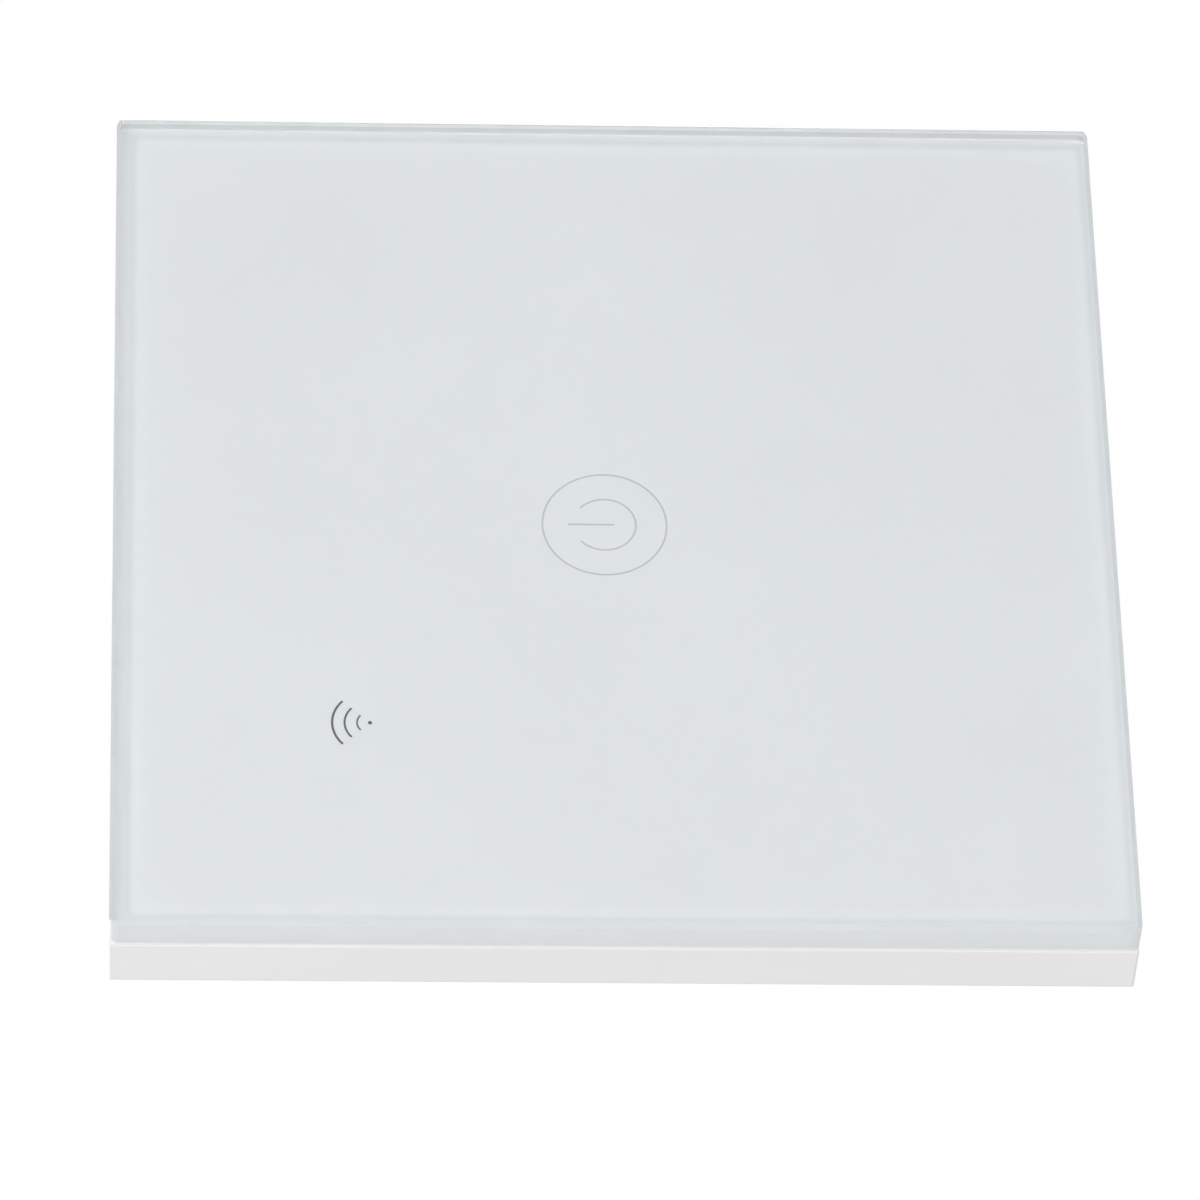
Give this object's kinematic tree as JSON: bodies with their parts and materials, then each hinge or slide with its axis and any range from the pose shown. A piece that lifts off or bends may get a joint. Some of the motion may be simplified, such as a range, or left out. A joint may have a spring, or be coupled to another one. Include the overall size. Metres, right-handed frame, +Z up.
{
  "type": "touch light switch",
  "caption": "Square wall-mounted touch light switch: printed glass front on a pull-off frame, base plate, and a rear housing with relay, supply board and wire terminals.",
  "frame": {"origin": "centre of the wall plane, at the back face of the base plate", "axes": "+Z up, +Y into the wall, the glass face looks along -Y, +X to the right seen from the room"},
  "size_m": [0.086, 0.0308, 0.086],
  "materials": {
    "glass": "clear, polished",
    "white_print": "even white back print",
    "tape": "adhesive foam",
    "white_plastic": "fine satin moulding",
    "spring_steel": "bright strip",
    "screw_steel": "zinc plated",
    "board_green": "solder mask",
    "board_blue": "solder mask",
    "gold_wire": "plated wire",
    "guide": "milky diffuser",
    "lamp": "clear resin on white body",
    "black_plastic": "moulded",
    "ivory_plastic": "moulded",
    "iron": "nickel plated iron",
    "copper": "enamelled wire",
    "insulated_winding": "yellow tape wrap",
    "ferrite": "sintered ferrite",
    "relay_blue": "moulded case",
    "can_sleeve": "shrink sleeve",
    "film_yellow": "moulded box",
    "varistor_blue": "dipped coating",
    "fuse_brown": "moulded cap",
    "terminal_green": "moulded",
    "contact_brass": "stamped strip",
    "clamp_steel": "zinc plated"
  },
  "bodies": {
    "base": {"base_plate": "white_plastic", "panel_clips": "spring_steel", "touch_board": "board_green", "touch_board_screws": "screw_steel", "touch_spring": "gold_wire", "icon_light_guide": "guide", "signal_light_guide": "guide", "status_lamps": "lamp", "touch_chip": "black_plastic", "radio_board": "board_blue", "radio_shield": "spring_steel", "link_header": "black_plastic", "link_pins": "gold_wire", "link_socket": "black_plastic", "main_board": "board_green", "relay_base": "black_plastic", "relay_pins": "clamp_steel", "relay_yoke": "iron", "relay_bobbin": "ivory_plastic", "relay_winding": "copper", "relay_fixed_contact": "contact_brass", "relay_case": "relay_blue", "transformer_core": "ferrite", "transformer_bobbin": "black_plastic", "transformer_winding": "insulated_winding", "bulk_capacitor": "can_sleeve", "output_capacitor": "can_sleeve", "film_capacitor": "film_yellow", "varistor": "varistor_blue", "fuse": "fuse_brown", "choke_core": "ferrite", "choke_winding": "copper", "bridge_rectifier": "black_plastic", "power_chip": "black_plastic", "terminal_bodies": "terminal_green", "terminal_tongues": "contact_brass", "rear_housing": "white_plastic", "housing_screws": "screw_steel"},
    "front panel": {"glass_panel": "glass", "glass_print": "white_print", "panel_tape": "tape", "panel_frame": "white_plastic"},
    "relay armature": {"relay_armature": "iron", "relay_contact_blade": "contact_brass"},
    "live screw": {"terminal_screw_live": "screw_steel"},
    "live cage": {"terminal_cage_live": "clamp_steel"},
    "neutral screw": {"terminal_screw_neutral": "screw_steel"},
    "neutral cage": {"terminal_cage_neutral": "clamp_steel"},
    "lamp screw": {"terminal_screw_lamp": "screw_steel"},
    "lamp cage": {"terminal_cage_lamp": "clamp_steel"}
  },
  "joints": [
    {"name": "panel_pull", "type": "slide", "parent": "base", "child": "front panel", "axis": [0, -1, 0], "range_m": [0, 0.025], "deforming": ["panel_clips"]},
    {"name": "relay_armature_hinge", "type": "hinge", "parent": "base", "child": "relay armature", "pos_m": [-0.0199, 0.01626, -0.0047], "axis": [0, 0, -1], "range_deg": [0, 4.5], "stiffness_Nm_per_rad": 0.0127},
    {"name": "live_screw_turn", "type": "hinge", "parent": "base", "child": "live screw", "pos_m": [-0.0075, 0.0157, -0.02121], "axis": [0, -1, 0], "range_deg": [0, 1800]},
    {"name": "live_cage_rise", "type": "slide", "parent": "base", "child": "live cage", "axis": [0, 1, 0], "range_m": [0, 0.0025]},
    {"name": "neutral_screw_turn", "type": "hinge", "parent": "base", "child": "neutral screw", "pos_m": [0, 0.0157, -0.02121], "axis": [0, -1, 0], "range_deg": [0, 1800]},
    {"name": "neutral_cage_rise", "type": "slide", "parent": "base", "child": "neutral cage", "axis": [0, 1, 0], "range_m": [0, 0.0025]},
    {"name": "lamp_screw_turn", "type": "hinge", "parent": "base", "child": "lamp screw", "pos_m": [0.0075, 0.0157, -0.02121], "axis": [0, -1, 0], "range_deg": [0, 1800]},
    {"name": "lamp_cage_rise", "type": "slide", "parent": "base", "child": "lamp cage", "axis": [0, 1, 0], "range_m": [0, 0.0025]}
  ],
  "couplings": [
    {"joint": "live_screw_turn", "follows": "live_cage_rise", "rad_per_m": 12566},
    {"joint": "neutral_screw_turn", "follows": "neutral_cage_rise", "rad_per_m": 12566},
    {"joint": "lamp_screw_turn", "follows": "lamp_cage_rise", "rad_per_m": 12566}
  ]
}
